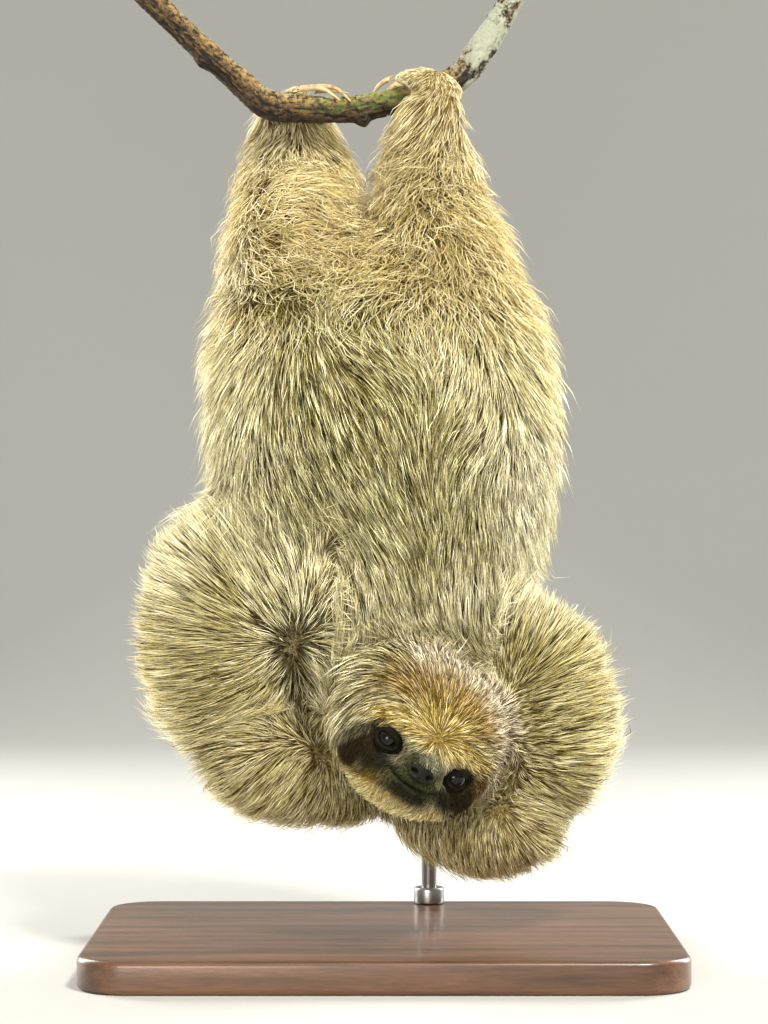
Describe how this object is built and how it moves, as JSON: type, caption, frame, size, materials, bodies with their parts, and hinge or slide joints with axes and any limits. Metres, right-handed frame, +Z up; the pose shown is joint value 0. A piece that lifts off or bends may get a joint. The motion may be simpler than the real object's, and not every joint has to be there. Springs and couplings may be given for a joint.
{
  "type": "three-toed sloth",
  "caption": "Life-size young three-toed sloth hanging head down by its hind feet from a cut branch, face turned out and arms folded, held by a flat wooden display stand with a steel rod.",
  "frame": {"origin": "on the ground under the centre of the display base", "axes": "+Z up; the animal's back and face look along -Y and its belly along +Y; +X is the animal's left, at the right of someone who looks at its face"},
  "size_m": [0.29, 0.22, 0.4958],
  "materials": {
    "body_coat": "coarse straw-coloured hair over a dark undercoat",
    "limb_coat": "coarse golden khaki hair over a dark undercoat",
    "face_coat": "short golden brown hair with a dark mask at the eyes",
    "nose_skin": "bare dark grey skin, slightly moist",
    "eye": "very glossy dark brown",
    "horn": "satin pale beige horn",
    "bark": "rough brown bark with lichen and moss",
    "base_wood": "satin-varnished dark wood",
    "rod_steel": "satin grey steel"
  },
  "bodies": {
    "root": {"head": "face_coat", "nose": "nose_skin", "eye_right": "eye", "eye_left": "eye", "trunk": "body_coat", "neck": "body_coat", "tail": "body_coat", "thigh_right": "limb_coat", "shin_right": "limb_coat", "foot_right": "limb_coat", "thigh_left": "limb_coat", "shin_left": "limb_coat", "foot_left": "limb_coat", "upper_arm_right": "limb_coat", "forearm_right": "limb_coat", "hand_right": "limb_coat", "upper_arm_left": "limb_coat", "forearm_left": "limb_coat", "hand_left": "limb_coat", "claw_right_foot_1": "horn", "claw_right_foot_2": "horn", "claw_right_foot_3": "horn", "claw_left_foot_1": "horn", "claw_left_foot_2": "horn", "claw_left_foot_3": "horn", "claw_right_hand_1": "horn", "claw_right_hand_2": "horn", "claw_right_hand_3": "horn", "claw_left_hand_1": "horn", "claw_left_hand_2": "horn", "claw_left_hand_3": "horn", "perch_branch": "bark", "stand_base": "base_wood", "stand_upright": "rod_steel", "stand_arm": "rod_steel"}
  },
  "joints": []
}
